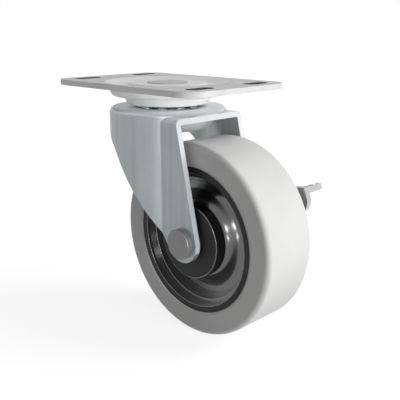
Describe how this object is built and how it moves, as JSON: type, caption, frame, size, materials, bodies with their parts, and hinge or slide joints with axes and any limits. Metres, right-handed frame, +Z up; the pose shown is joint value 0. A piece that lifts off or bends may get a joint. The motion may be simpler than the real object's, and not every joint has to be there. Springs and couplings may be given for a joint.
{
  "type": "swivel castor",
  "caption": "Top-plate swivel castor with ball-race head, pressed fork, roller-bearing wheel with pale elastic tread, and a side foot brake.",
  "frame": {"origin": "centre of the top plate's mounting face, on the swivel axis", "axes": "+Z up out of the mounting face along the swivel axis; +Y the way the wheel trails at rest; X along the wheel's axle, the brake on the -X side"},
  "size_m": [0.1196, 0.2064, 0.1901],
  "materials": {
    "plate_steel": "bright zinc, satin",
    "fork_zinc": "bluish zinc, satin",
    "race_steel": "polished",
    "fastener_steel": "zinc plated, satin",
    "ball_steel": "polished",
    "brake_steel": "zinc plated, satin",
    "tread_rubber": "pale grey, smooth matt",
    "core_plastic": "black, glossy",
    "cage_plastic": "dark, matt",
    "pad_rubber": "black, matt"
  },
  "bodies": {
    "plate": {"top_plate": "plate_steel", "kingpin": "plate_steel", "kingpin_washer": "fastener_steel", "kingpin_nut": "fastener_steel", "lower_race": "race_steel"},
    "upper_row": {"upper_balls": "ball_steel"},
    "lower_row": {"lower_balls": "ball_steel"},
    "fork": {"fork": "fork_zinc", "axle_bolt": "fastener_steel", "axle_washer": "fastener_steel", "axle_nut": "fastener_steel", "axle_sleeve": "race_steel", "hub_washers": "fastener_steel", "brake_bush": "fastener_steel"},
    "wheel": {"tread": "tread_rubber", "wheel_core": "core_plastic", "hub_liner": "race_steel"},
    "roller_set": {"bearing_rollers": "ball_steel", "roller_cage": "cage_plastic"},
    "lever": {"brake_lever": "brake_steel"},
    "shoe": {"brake_arm": "brake_steel", "brake_plunger": "fastener_steel", "brake_pad": "pad_rubber"}
  },
  "joints": [
    {"name": "swivel", "type": "hinge", "parent": "plate", "child": "fork", "pos_m": [0, 0, 0], "axis": [0, 0, 1], "continuous": true},
    {"name": "upper_row_turn", "type": "hinge", "parent": "plate", "child": "upper_row", "pos_m": [0, 0, 0], "axis": [0, 0, 1], "continuous": true},
    {"name": "lower_row_turn", "type": "hinge", "parent": "plate", "child": "lower_row", "pos_m": [0, 0, 0], "axis": [0, 0, 1], "continuous": true},
    {"name": "wheel_spin", "type": "hinge", "parent": "fork", "child": "wheel", "pos_m": [0, 0.0514, -0.1151], "axis": [1, 0, 0], "continuous": true},
    {"name": "roller_set_turn", "type": "hinge", "parent": "fork", "child": "roller_set", "pos_m": [0, 0.0514, -0.1151], "axis": [1, 0, 0], "continuous": true},
    {"name": "brake_swing", "type": "hinge", "parent": "fork", "child": "lever", "pos_m": [0, 0.0514, -0.1151], "axis": [-1, 0, 0], "range_deg": [0, 36]},
    {"name": "brake_press", "type": "slide", "parent": "fork", "child": "shoe", "axis": [1, 0, 0], "range_m": [0, 0.0016]}
  ],
  "couplings": [
    {"joint": "upper_row_turn", "follows": "swivel", "ratio": 0.5},
    {"joint": "lower_row_turn", "follows": "swivel", "ratio": 0.5},
    {"joint": "roller_set_turn", "follows": "wheel_spin", "ratio": 0.6015},
    {"joint": "brake_press", "follows": "brake_swing", "m_per_rad": 0.002546}
  ]
}
